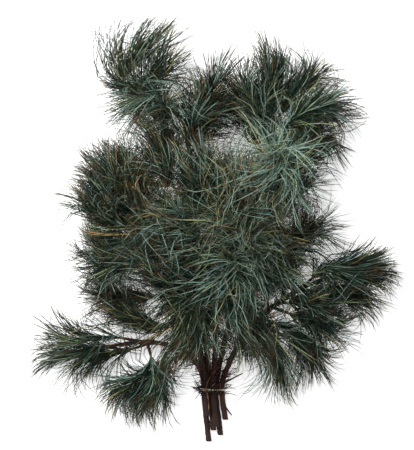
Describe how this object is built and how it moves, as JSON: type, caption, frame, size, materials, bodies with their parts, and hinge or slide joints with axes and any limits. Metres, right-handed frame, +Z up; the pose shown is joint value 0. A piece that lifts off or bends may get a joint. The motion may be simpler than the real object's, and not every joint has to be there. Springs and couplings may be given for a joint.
{
  "type": "eastern white pine branch bunch",
  "caption": "Cut boughs of eastern white pine with long soft needles, held in a bunch by a raffia band round their stems and lying on a flat surface.",
  "frame": {"origin": "bottom centre of the bounding box, on the surface that the bunch lies on", "axes": "+Z up from the surface, +Y along the bunch from the cut stem ends to the tips, +X to the right as seen from above"},
  "size_m": [0.5346, 0.6022, 0.1879],
  "materials": {
    "bark": "rough brown bark",
    "needles": "bluish green pine needles, slightly waxy",
    "band": "flat cream raffia"
  },
  "bodies": {
    "root": {"stem_left_low": "bark", "stem_left": "bark", "stem_top_left": "bark", "stem_top_right": "bark", "stem_right": "bark", "stem_middle": "bark", "spray_left_low_tip": "needles", "spray_left_low_upper": "needles", "spray_left_low_lower": "needles", "spray_left_low_hang_inner": "needles", "spray_left_low_hang_middle": "needles", "spray_left_low_hang_outer": "needles", "spray_left_tip": "needles", "spray_left_up": "needles", "spray_left_up_inner": "needles", "spray_left_out_high": "needles", "spray_left_out": "needles", "spray_left_out_droop": "needles", "spray_left_side": "needles", "spray_left_side_low": "needles", "spray_left_over": "needles", "spray_top_left_tip": "needles", "spray_top_left_inner": "needles", "spray_top_left_curl": "needles", "spray_top_left_under": "needles", "spray_top_left_spire": "needles", "spray_top_left_spire_low": "needles", "spray_top_left_up": "needles", "spray_top_left_over": "needles", "spray_top_right_tip": "needles", "spray_top_right_outer": "needles", "spray_top_right_inner": "needles", "spray_top_right_inner_low": "needles", "spray_top_right_right_high": "needles", "spray_top_right_right": "needles", "spray_top_right_right_low": "needles", "spray_top_right_side": "needles", "spray_top_right_side_low": "needles", "spray_top_right_crown": "needles", "spray_top_right_low": "needles", "spray_top_right_mid": "needles", "spray_right_tip": "needles", "spray_right_upper": "needles", "spray_right_lower": "needles", "spray_right_fan_high": "needles", "spray_right_fan": "needles", "spray_right_fan_low": "needles", "spray_right_hang": "needles", "spray_right_inward": "needles", "spray_right_inward_high": "needles", "spray_middle_tip": "needles", "spray_middle_crown": "needles", "spray_middle_left": "needles", "spray_middle_right": "needles", "spray_middle_over": "needles", "spray_middle_over_left": "needles", "spray_middle_droop_left": "needles", "spray_middle_droop_right": "needles", "spray_middle_low_left": "needles", "band": "band"}
  },
  "joints": []
}
